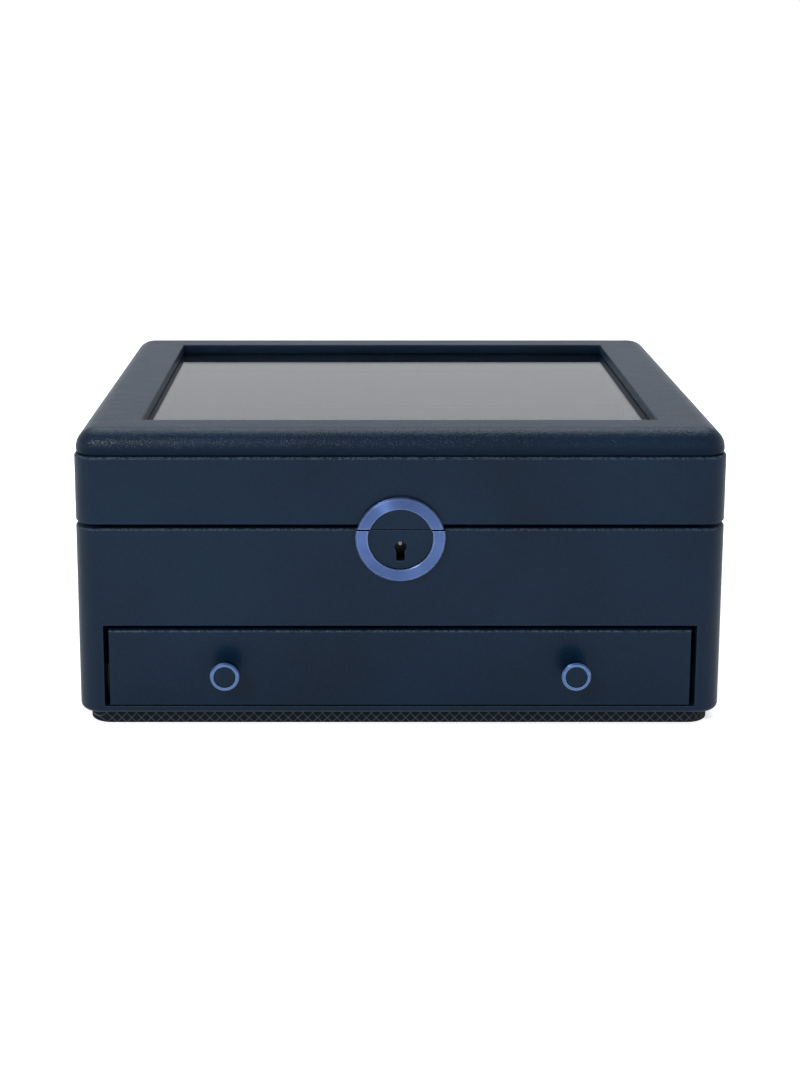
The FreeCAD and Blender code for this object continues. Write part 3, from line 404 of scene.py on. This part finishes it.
def felt_material(name):
    """Pressed felt: fibres and slow clumps."""
    material = new_material(name)
    fibres = noise_at(material, place(material, (1, 3, 1), (0, 0, 0.6)), 1400.0, 5.0, 0.75)
    clumps = noise_at(material, place(material), 90.0, 3.0)
    colour = mottle(material, fibres, (0.006, 0.007, 0.010), (0.018, 0.020, 0.026))
    patched = blend_colours(material, ramp(material, clumps, 0.4, 0.7, 0.0, 0.4), colour,
                            (0.028, 0.030, 0.036))
    return surface(material, Base_Color=patched, Roughness=from_noise(material, fibres, 0.85, 1.0),
                   Sheen_Weight=0.25, Specular_IOR_Level=0.15,
                   Normal=bump(material, fibres, FELT_RELIEF, 0.8))


# Board, plastic, metals and glass

def board_material(name):
    """Dense fibreboard: pale flecks in a warm brown ground."""
    material = new_material(name)
    flecks = noise_at(material, place(material, (1, 2.2, 1), (0, 0, 0.3)), 900.0, 4.0, 0.7)
    patches = noise_at(material, place(material), 25.0, 3.0)
    colour = blend_colours(material, ramp(material, flecks, 0.35, 0.65, 0.0, 1.0), (0.10, 0.062, 0.034),
                           (0.22, 0.15, 0.088))
    shaded = mottle(material, patches, colour, (0.13, 0.085, 0.05), 0.4)
    return surface(material, Base_Color=shaded, Roughness=from_noise(material, flecks, 0.62, 0.82),
                   Normal=bump(material, flecks, BOARD_RELIEF, 0.6))


def plastic_material(name):
    """Dark moulded plastic with flow marks."""
    material = new_material(name)
    spark = noise_at(material, place(material), 2600.0)
    flow = noise_at(material, place(material, (1, 12, 1)), 30.0, 3.0)
    colour = blend_colours(material, flow, (0.010, 0.011, 0.013), (0.020, 0.021, 0.024))
    return surface(material, Base_Color=colour, Roughness=from_noise(material, spark, 0.36, 0.5),
                   Normal=bump(material, spark, PLASTIC_RELIEF, 0.5))


def satin_and_cloud(material, where):
    """The fine grain of satin metal, and slow patches in it."""
    return noise_at(material, where, 4200.0, 3.0, 0.6), noise_at(material, where, 120.0, 3.0)


def anodised_colour(material, cloud, dark, light, bare, rubbed):
    """A clouded colour, with a share of the bare metal where edges are rubbed."""
    return blend_colours(material, rubbed, mottle(material, cloud, dark, light), bare)


def blue_metal_material(name):
    """Satin blue anodised metal with rubbed edges."""
    material = new_material(name)
    satin, cloud = satin_and_cloud(material, place(material))
    rubbed = maths(material, "MULTIPLY", edge_wear(material, METAL_EDGE), 0.5)
    colour = anodised_colour(material, cloud, (0.066, 0.122, 0.262), (0.080, 0.142, 0.300),
                             (0.30, 0.42, 0.66), rubbed)
    rough = maths(material, "ADD", from_noise(material, satin, 0.24, 0.33),
                  from_noise(material, cloud, -0.03, 0.04))
    return surface(material, Base_Color=colour, Metallic=1.0, Roughness=rough,
                   Normal=bump(material, satin, SATIN_RELIEF, 0.5))


def turned_metal_material(name, centre):
    """Blue metal with grooves turned round a centre, on a face that falls away outwards."""
    material = new_material(name)
    where = place(material)
    satin, cloud = satin_and_cloud(material, where)
    offset = add(material, "VectorMath", {0: where, 1: centre}, operation="SUBTRACT").outputs["Vector"]
    radial = add(material, "VectorMath", {0: offset, 1: (1, 0, 1)}, operation="MULTIPLY").outputs["Vector"]
    radius = add(material, "VectorMath", {0: radial}, operation="LENGTH").outputs["Value"]
    grooves = add(material, "TexNoise", {"W": radius, "Scale": 9000.0, "Detail": 2.0},
                  noise_dimensions="1D").outputs["Fac"]
    tangent = add(material, "VectorTransform", {"Vector": radial}, vector_type="VECTOR",
                  convert_from="OBJECT", convert_to="WORLD").outputs["Vector"]
    rubbed = maths(material, "MULTIPLY", edge_wear(material, RING_EDGE), 0.8)
    colour = anodised_colour(material, cloud, (0.060, 0.100, 0.240), (0.073, 0.119, 0.275),
                             (0.36, 0.50, 0.80), rubbed)
    fall = maths(material, "MULTIPLY", radius, -RING_FALL)
    fine = maths(material, "MULTIPLY", maths(material, "ADD", satin, grooves), GROOVE_RELIEF)
    return surface(material, Base_Color=colour, Metallic=1.0, Anisotropic=0.85, Tangent=tangent,
                   Roughness=from_noise(material, satin, 0.4, 0.46),
                   Normal=bump(material, maths(material, "ADD", fall, fine), 1.0))


def steel_material(name, dark=(0.52, 0.52, 0.54), light=(0.66, 0.66, 0.67)):
    """Plated steel, drawn lengthwise, with dulled patches."""
    material = new_material(name)
    drawn = noise_at(material, place(material, (1, 14, 14)), 900.0, 4.0, 0.6)
    haze = noise_at(material, place(material), 160.0, 3.0)
    rough = maths(material, "ADD", from_noise(material, drawn, 0.22, 0.34),
                  ramp(material, haze, 0.35, 0.7, 0.0, 0.1))
    return surface(material, Base_Color=mottle(material, haze, dark, light), Metallic=1.0, Roughness=rough,
                   Normal=bump(material, drawn, DRAWN_RELIEF, 0.5))


def dark_steel_material(name):
    """Blackened steel, oiled, for what lies inside the keyhole."""
    material = new_material(name)
    scale = noise_at(material, place(material), 700.0, 4.0, 0.65)
    haze = noise_at(material, place(material), 90.0, 3.0)
    colour = mottle(material, haze, (0.012, 0.012, 0.013), (0.030, 0.029, 0.028))
    return surface(material, Base_Color=colour, Metallic=0.85,
                   Roughness=from_noise(material, scale, 0.34, 0.55),
                   Normal=bump(material, scale, BLACKENED_RELIEF, 0.6))


def glass_material(name):
    """Clear pane with the faintest smears."""
    material = new_material(name)
    smears = noise_at(material, place(material, (1, 3, 1), (0, 0, 0.5)), 22.0, 4.0, 0.6)
    return surface(material, Base_Color=(1.0, 1.0, 1.0, 1.0), Transmission_Weight=1.0, IOR=1.5,
                   Roughness=ramp(material, smears, 0.45, 0.8, 0.0, 0.03))


# Help for shapes

def spun(x, y, turn):
    """A point turned by quarter turns."""
    for _ in range(turn):
        x, y = -y, x
    return x, y


def outline(half_x, half_y, radius, corner_steps=10, side_steps=24):
    """Points round a rectangle with round corners, as many for every size."""
    points = []
    for turn in range(4):
        reach, run = (half_x, half_y) if turn % 2 == 0 else (half_y, half_x)
        for step in range(side_steps):
            points.append(spun(reach, (2 * step / side_steps - 1) * (run - radius), turn))
        for step in range(corner_steps):
            angle = math.pi / 2 * step / corner_steps
            points.append(spun(reach - radius + radius * math.cos(angle),
                               run - radius + radius * math.sin(angle), turn))
    return points


def quarter(steps):
    """The angles of a quarter turn in even steps, from its start to its end."""
    return [math.pi / 2 * step / steps for step in range(steps + 1)]


def both(amount):
    """The same amount along x and y."""
    return Vector((amount, amount))


def add_object(name, data):
    """A new object in the scene."""
    made = bpy.data.objects.new(name, data)
    bpy.context.scene.collection.objects.link(made)
    return made


def new_piece(name, material, body):
    piece = add_object(name, bpy.data.meshes.new(name))
    piece.data.materials.append(material)
    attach(piece, body)
    return piece


def skin(mesh, rings, closed=True, smooth=True):
    """Fills a mesh with quads between rings of points; one not closed gets its two ends filled."""
    shape = bmesh.new()
    layers = [[shape.verts.new(point) for point in ring] for ring in rings]
    count = len(rings[0])
    pairs = list(zip(layers, layers[1:]))
    if closed:
        pairs.append((layers[-1], layers[0]))
    for lower, upper in pairs:
        for index in range(count):
            following = (index + 1) % count
            shape.faces.new((lower[index], lower[following], upper[following], upper[index]))
    if not closed:
        shape.faces.new(layers[0])
        shape.faces.new(layers[-1])
    for face in shape.faces:
        face.smooth = smooth
    bmesh.ops.recalc_face_normals(shape, faces=shape.faces)
    shape.to_mesh(mesh)
    shape.free()


def bake_modifiers(piece):
    """Puts what a piece's modifiers make into its own mesh."""
    graph = bpy.context.evaluated_depsgraph_get()
    made = bpy.data.meshes.new_from_object(piece.evaluated_get(graph), depsgraph=graph)
    piece.modifiers.clear()
    piece.data = made


# The padded frame round the glass

def lid_pad_rings():
    """Rings from the pad's foot over its roll and flat top, down at the window and back under the glass."""
    low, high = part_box("lid_pad")
    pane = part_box("glass_pane")[1]
    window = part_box("window_trim")[1].xy - both(TRIM_THICKNESS)
    seat = pane.xy + both(GLASS_CLEARANCE)
    edge = window + both(PAD_TURN)
    lip = pane.z + GLASS_CLEARANCE
    drop = high.z - low.z - PAD_CURL_RISE
    rings = []

    def ring(size, level, radius):
        rings.append([(x, y, level) for x, y in outline(size.x, size.y, radius)])

    for angle in quarter(PAD_EDGE_STEPS)[:-1]:
        inset = PAD_CURL * (1 - math.sin(angle))
        ring(high.xy - both(inset), low.z + PAD_CURL_RISE * (1 - math.cos(angle)), PAD_CORNER - inset)
    for angle in quarter(PAD_ROLL_STEPS):
        inset = PAD_ROLL * (1 - math.cos(angle) ** PAD_FULLNESS)
        level = high.z - drop * (1 - math.sin(angle) ** PAD_FULLNESS)
        ring(high.xy - both(inset), level, max(PAD_CORNER - inset, PAD_TIGHT_CORNER))
    for step in range(1, PAD_FLAT_STEPS + 1):
        share = step / PAD_FLAT_STEPS
        size = (high.xy - both(PAD_ROLL)).lerp(edge, share)
        ring(size, high.z - PAD_CROWN * (2 * share - 1) ** 2, PAD_TIGHT_CORNER)
    for angle in quarter(PAD_EDGE_STEPS)[1:]:
        level = high.z - PAD_CROWN - PAD_TURN * (1 - math.cos(angle))
        radius = PAD_TIGHT_CORNER + (PAD_LIP_CORNER - PAD_TIGHT_CORNER) * math.sin(angle)
        ring(edge.lerp(window, math.sin(angle)), level, radius)
    ring(window, lip + PAD_LIP, PAD_LIP_CORNER)
    ring(window + both(PAD_TURN) * PAD_LIP_TUCK, lip, PAD_LIP_CORNER)
    ring(seat, lip, PAD_TIGHT_CORNER)
    ring(seat, low.z, PAD_TIGHT_CORNER)
    return rings


def lid_pad_piece(material):
    """The padded leather frame round the glass: a soft roll outside, a turned edge at the window."""
    piece = new_piece("lid_pad_leather", material, "lid")
    skin(piece.data, lid_pad_rings())
    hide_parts("lid_pad")


# The cushions

def cushion_rings(low, high):
    """Rings from a cushion's foot to its crown, a little inside its box."""
    centre = (low + high) / 2
    half_x, half_y = (high.x - low.x) / 2, (high.y - low.y) / 2
    height = high.z - low.z - CUSHION_LOWER
    rings = []
    for share, drawn_in in CUSHION_LEVELS:
        inset = (drawn_in + CUSHION_DRAWN_IN) * MM
        radius = max(CUSHION_CORNER - CUSHION_CORNER_FALL * inset, CUSHION_LEAST_CORNER)
        points = outline(half_x - inset, half_y - inset, radius, CUSHION_CORNER_STEPS, CUSHION_SIDE_STEPS)
        level = low.z + CUSHION_RAISED + share * height
        rings.append([(centre.x + x, centre.y + y, level) for x, y in points])
    return rings


def cushion_blank(node, material, seed):
    """A cushion before it is filled out: a little small, remeshed into even squares and slightly rippled."""
    piece = new_piece(node + "_plush", material, "case")
    skin(piece.data, cushion_rings(*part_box(node)), closed=False)
    remesh = piece.modifiers.new("remesh", "REMESH")
    remesh.mode = "VOXEL"
    remesh.voxel_size = CUSHION_VOXEL
    bake_modifiers(piece)
    shift = Vector((seed * CUSHION_RIPPLE_SHIFT, 0, 0))
    for vertex in piece.data.vertices:
        vertex.co += noise.noise_vector(vertex.co * CUSHION_RIPPLE_SCALE + shift) * CUSHION_RIPPLE
    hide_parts(node)
    return piece


def seam_distance(point, low, high):
    """How far a point is from the nearer of a cushion's two sewn ends."""
    return min(abs(point.y - (low.y + CUSHION_SEAM)), abs(point.y - (high.y - CUSHION_SEAM)))


def make_cloth(node, piece):
    """Turns a cushion into cloth under pressure, held at its seams."""
    low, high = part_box(node)
    pinned = [v.index for v in piece.data.vertices if seam_distance(v.co, low, high) < SEAM_REACH]
    piece.vertex_groups.new(name="seams").add(pinned, SEAM_HOLD, "REPLACE")
    cloth = piece.modifiers.new("filling", "CLOTH")
    for name, value in CLOTH_SETTINGS.items():
        setattr(cloth.settings, name, value)
    cloth.settings.effector_weights.gravity = 0
    cloth.point_cache.frame_start = 1
    cloth.point_cache.frame_end = CLOTH_FRAMES


def keep_cloth(piece):
    """Keeps a cushion as the cloth has left it, with no point moved further than the swell allows."""
    before = [v.co.copy() for v in piece.data.vertices]
    bake_modifiers(piece)
    for vertex, start in zip(piece.data.vertices, before):
        move = vertex.co - start
        if move.length > CUSHION_SWELL:
            vertex.co = start + move * (CUSHION_SWELL / move.length)


def fill_out(pieces):
    """Blows the cushions up as cloth and keeps the result."""
    for node, piece in pieces:
        make_cloth(node, piece)
    for number in range(1, CLOTH_FRAMES + 1):
        bpy.context.scene.frame_set(number)
    for _, piece in pieces:
        keep_cloth(piece)
    bpy.context.scene.frame_set(1)


def finish_cushion(node, piece):
    """Draws a cushion's seams in, seats it flat and smooths it."""
    low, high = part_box(node)
    centre = (low + high) / 2
    for vertex in piece.data.vertices:
        depth = math.exp(-(seam_distance(vertex.co, low, high) / SEAM_WIDTH) ** 2)
        inward = centre - vertex.co
        inward.y = 0
        vertex.co += inward.normalized() * depth * SEAM_DEPTH
        vertex.co.z = max(vertex.co.z, low.z + CUSHION_FOOT)
    for face in piece.data.polygons:
        face.use_smooth = True
    smooth = piece.modifiers.new("smooth", "SUBSURF")
    smooth.levels = smooth.render_levels = 1
    bake_modifiers(piece)


def add_cushions(material):
    """Ten cushions. Without the seed, Blender would ripple them in another way on each run."""
    noise.seed_set(CUSHION_RIPPLE_SEED)
    nodes = [f"cushion_{row}_{number}" for row in ("front", "rear") for number in range(1, 6)]
    pieces = [(node, cushion_blank(node, material, seed)) for seed, node in enumerate(nodes)]
    fill_out(pieces)
    for node, piece in pieces:
        finish_cushion(node, piece)


# Rounded edges of carried-over nodes

def round_edges(node, width, segments, method):
    """Rounds edges with modifiers and lets the shading follow them; the mesh keeps its points."""
    mesh = node.data
    if "custom_normal" in mesh.attributes:
        mesh.attributes.remove(mesh.attributes["custom_normal"])
    mesh.polygons.foreach_set("use_smooth", [True] * len(mesh.polygons))
    weld = node.modifiers.new("weld", "WELD")
    weld.merge_threshold = WELD_REACH
    bevel = node.modifiers.new("rounded_edges", "BEVEL")
    bevel.width = width
    bevel.segments = segments
    bevel.limit_method = method
    bevel.angle_limit = SHARP_ANGLE
    normals = node.modifiers.new("even_shading", "WEIGHTED_NORMAL")
    normals.keep_sharp = True


def mark_box_edges(mesh, low, high):
    """Marks the outer edges of a plain board to be rounded, and the edges of its holes as sharp."""
    def at_corner(point):
        near_low = [abs(point[axis] - low[axis]) < SAME_PLACE for axis in range(3)]
        near_high = [abs(point[axis] - high[axis]) < SAME_PLACE for axis in range(3)]
        return all(first or second for first, second in zip(near_low, near_high))

    weights = mesh.attributes.new("bevel_weight_edge", "FLOAT", "EDGE")
    for edge in mesh.edges:
        first, second = (mesh.vertices[number].co for number in edge.vertices)
        changes = sum(abs(first[axis] - second[axis]) > SAME_PLACE for axis in range(3))
        outer = changes == 1 and at_corner(first) and at_corner(second)
        weights.data[edge.index].value = 1.0 if outer else 0.0
        edge.use_edge_sharp = not at_corner(first) and not at_corner(second)


def soften(name, width):
    """Rounds all sharp edges of a CAD node."""
    round_edges(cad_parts[name], width, 2, "ANGLE")


def round_box_edges(name, width):
    """Rounds only the outer edges of a plain CAD board; its holes stay sharp."""
    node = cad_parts[name]
    mark_box_edges(node.data, *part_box(name))
    round_edges(node, width, 3, "WEIGHT")


# The small screws

def screw_head(material):
    """A flat screw head with a cross recess, its top at zero, shared by all the small screws."""
    head = bpy.data.meshes.new("screw_head")
    head.materials.append(material)
    angles = [math.pi * 2 * step / SCREW_POINTS for step in range(SCREW_POINTS)]
    nearly_nothing = 1e-6

    def circle(radius, level):
        return [(radius * math.cos(angle), radius * math.sin(angle), level) for angle in angles]

    def cross(share, level):
        points = []
        for angle in angles:
            across = abs(math.cos(angle)) + nearly_nothing
            up = abs(math.sin(angle)) + nearly_nothing
            lying = min(SCREW_RECESS / across, SCREW_SLOT / up)
            standing = min(SCREW_SLOT / across, SCREW_RECESS / up)
            reach = share * max(lying, standing)
            points.append((reach * math.cos(angle), reach * math.sin(angle), level))
        return points

    rings = [circle(SCREW_HEAD, -SCREW_HEAD_DEPTH), circle(SCREW_HEAD, -SCREW_ROUND),
             circle(SCREW_HEAD - SCREW_ROUND, 0), cross(1.0, 0), cross(SCREW_RECESS_FOOT, -SCREW_DEPTH)]
    skin(head, rings, closed=False, smooth=False)
    return head


def screw_places():
    """Two screws in each hinge leaf, in the lock's face plate and in the strike.

    Each has its body, its plate, its x and y, and whether its head looks down.
    """
    places = []
    for name, side in (("left", -1), ("right", 1)):
        for step in (-1, 1):
            x = side * HINGE_X + step * HINGE_SCREW_STEP
            places.append(("case", "hinge_case_leaf_" + name, x, HINGE_SCREW_Y, False))
            places.append(("lid", "hinge_lid_leaf_" + name, x, HINGE_SCREW_Y, True))
    for side in (-1, 1):
        places.append(("case", "lock_case", side * LOCK_SCREW_X, LOCK_SCREW_Y, False))
        places.append(("lid", "lock_strike", side * STRIKE_SCREW_X, LOCK_SCREW_Y, True))
    return places


def hole_rim(name, x, y, down):
    """The level of a plate's face round one of its screw holes."""
    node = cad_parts[name]
    points = [node.matrix_world @ vertex.co for vertex in node.data.vertices]
    reach = SCREW_HEAD + HOLE_MARGIN
    levels = [point.z for point in points if math.hypot(point.x - x, point.y - y) < reach]
    return min(levels) if down else max(levels)


def add_screws(material):
    """The small screws, each a little below the rim of its hole and turned another way."""
    head = screw_head(material)
    for number, (body, plate, x, y, down) in enumerate(screw_places(), 1):
        screw = add_object(f"{body}_screw_{number}", head)
        rim = hole_rim(plate, x, y, down)
        screw.location = (x, y, rim + SCREW_SUNK if down else rim - SCREW_SUNK)
        screw.rotation_euler = (math.pi if down else 0, 0, math.radians(SCREW_TURN * number))
        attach(screw, body)


# Materials on the carried-over nodes, and the pieces that scene.py adds

materials = {
    "navy_leather": leather_material("pebbled_leather"),
    "pad_leather": leather_material("padded_leather", 2.8, 0.07, 0.19, 0.03, PAD_PAINTED_SHADE),
    "plinth_cloth": woven_material("lattice_cloth"),
    "base_felt": felt_material("pressed_felt"),
    "board": board_material("fibreboard"),
    "dark_lining": velvet_material("short_velvet", *LINING_COLOURS, LINING_PILE),
    "cushion_fabric": velvet_material("plush_velvet", *PLUSH_COLOURS, PLUSH_PILE),
    "runner_plastic": plastic_material("moulded_plastic"),
    "blue_metal": blue_metal_material("blue_anodised_metal"),
    "turned_metal": turned_metal_material("turned_blue_metal", RING_CENTRE),
    "steel": steel_material("plated_steel"),
    "dark_steel": dark_steel_material("blackened_steel"),
    "grey_steel": steel_material("grey_steel", (0.10, 0.10, 0.105), (0.17, 0.17, 0.175)),
    "clear_glass": glass_material("window_glass"),
}

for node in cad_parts.values():
    node.data.materials[0] = materials[node.data.materials[0].name]
for name, better in (("lock_case", "dark_steel"), ("lock_cover", "dark_steel"), ("lock_post", "grey_steel"),
                     ("lock_ring_upper", "turned_metal"), ("lock_ring_lower", "turned_metal")):
    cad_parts[name].data.materials[0] = materials[better]

soften("case_shell", COVER_ROUND)
soften("lid_band", COVER_ROUND)
round_box_edges("drawer_front", DRAWER_ROUND)

lid_pad_piece(materials["pad_leather"])
add_cushions(materials["cushion_fabric"])
add_screws(materials["steel"])


# The camera, the floor and the light

def add_camera():
    camera = add_object("camera", bpy.data.cameras.new("camera"))
    camera.location = CAMERA_PLACE
    camera.rotation_euler = (math.pi / 2 - CAMERA_PITCH, 0, 0)
    camera.data.sensor_fit = "VERTICAL"
    camera.data.sensor_height = SENSOR_HEIGHT
    camera.data.lens = CAMERA_FOCAL_PIXELS / PHOTO_HEIGHT * SENSOR_HEIGHT
    camera.data.shift_x, camera.data.shift_y = CAMERA_SHIFT
    camera.data.clip_end = CAMERA_REACH
    bpy.context.scene.camera = camera


def add_floor():
    """A pale floor, so bright that it takes only a faint shadow."""
    floor = add_object("floor", bpy.data.meshes.new("floor"))
    shape = bmesh.new()
    bmesh.ops.create_grid(shape, x_segments=FLOOR_SQUARES, y_segments=FLOOR_SQUARES, size=FLOOR_SIZE)
    shape.to_mesh(floor.data)
    shape.free()
    material = new_material("pale_floor")
    patches = noise_at(material, place(material), 3.0)
    colour = blend_colours(material, patches, (0.78, 0.78, 0.78), (0.82, 0.82, 0.82))
    surface(material, Base_Color=colour, Roughness=0.9, Specular_IOR_Level=0.1,
            Emission_Color=(1.0, 1.0, 1.0, 1.0), Emission_Strength=0.56)
    floor.data.materials.append(material)


def add_world():
    """A white surround that grows bluer and dimmer above the horizon and dims again towards the ceiling."""
    world = bpy.data.worlds.new("studio")
    world.use_nodes = True
    world.node_tree.nodes.clear()
    bpy.context.scene.world = world
    height = height_of(world, add(world, "TexCoord").outputs["Generated"])
    strength = maths(world, "MULTIPLY", ramp(world, height, *HORIZON, 1.05, 0.73, smooth=True),
                     ramp(world, height, *CEILING, 1.0, 0.62, smooth=True))
    share = ramp(world, height, *HORIZON, 0.0, 1.0, smooth=True)
    colour = blend_colours(world, share, (1.0, 1.0, 1.0), (0.94, 0.965, 1.0))
    background = add(world, "Background", {"Color": colour, "Strength": strength})
    add(world, "OutputWorld", {"Surface": background.outputs["Background"]})


def add_area_light(name, stand, aim, size, power, colour=(1.0, 1.0, 1.0)):
    light = add_object(name, bpy.data.lights.new(name, "AREA"))
    light.data.shape = "RECTANGLE"
    light.data.size, light.data.size_y = size
    light.data.energy = power
    light.data.color = colour
    light.location = stand
    light.rotation_euler = (Vector(aim) - Vector(stand)).to_track_quat("-Z", "Y").to_euler()


add_camera()
add_floor()
add_world()
add_area_light("overhead_softbox", (0.0, 0.8, 1.6), (0, 0, 0.1), (1.8, 1.1), 30, (0.86, 0.94, 1.0))
add_area_light("rear_softbox", (0.0, 1.7, 1.35), (0, 0, 0.15), (2.4, 0.8), 1.5, (0.70, 0.89, 1.0))
add_area_light("front_softbox", (-0.8, -1.35, 1.2), (0, -0.1, 0.13), (0.5, 0.2), 17)

bpy.context.scene.view_settings.view_transform = "Standard"
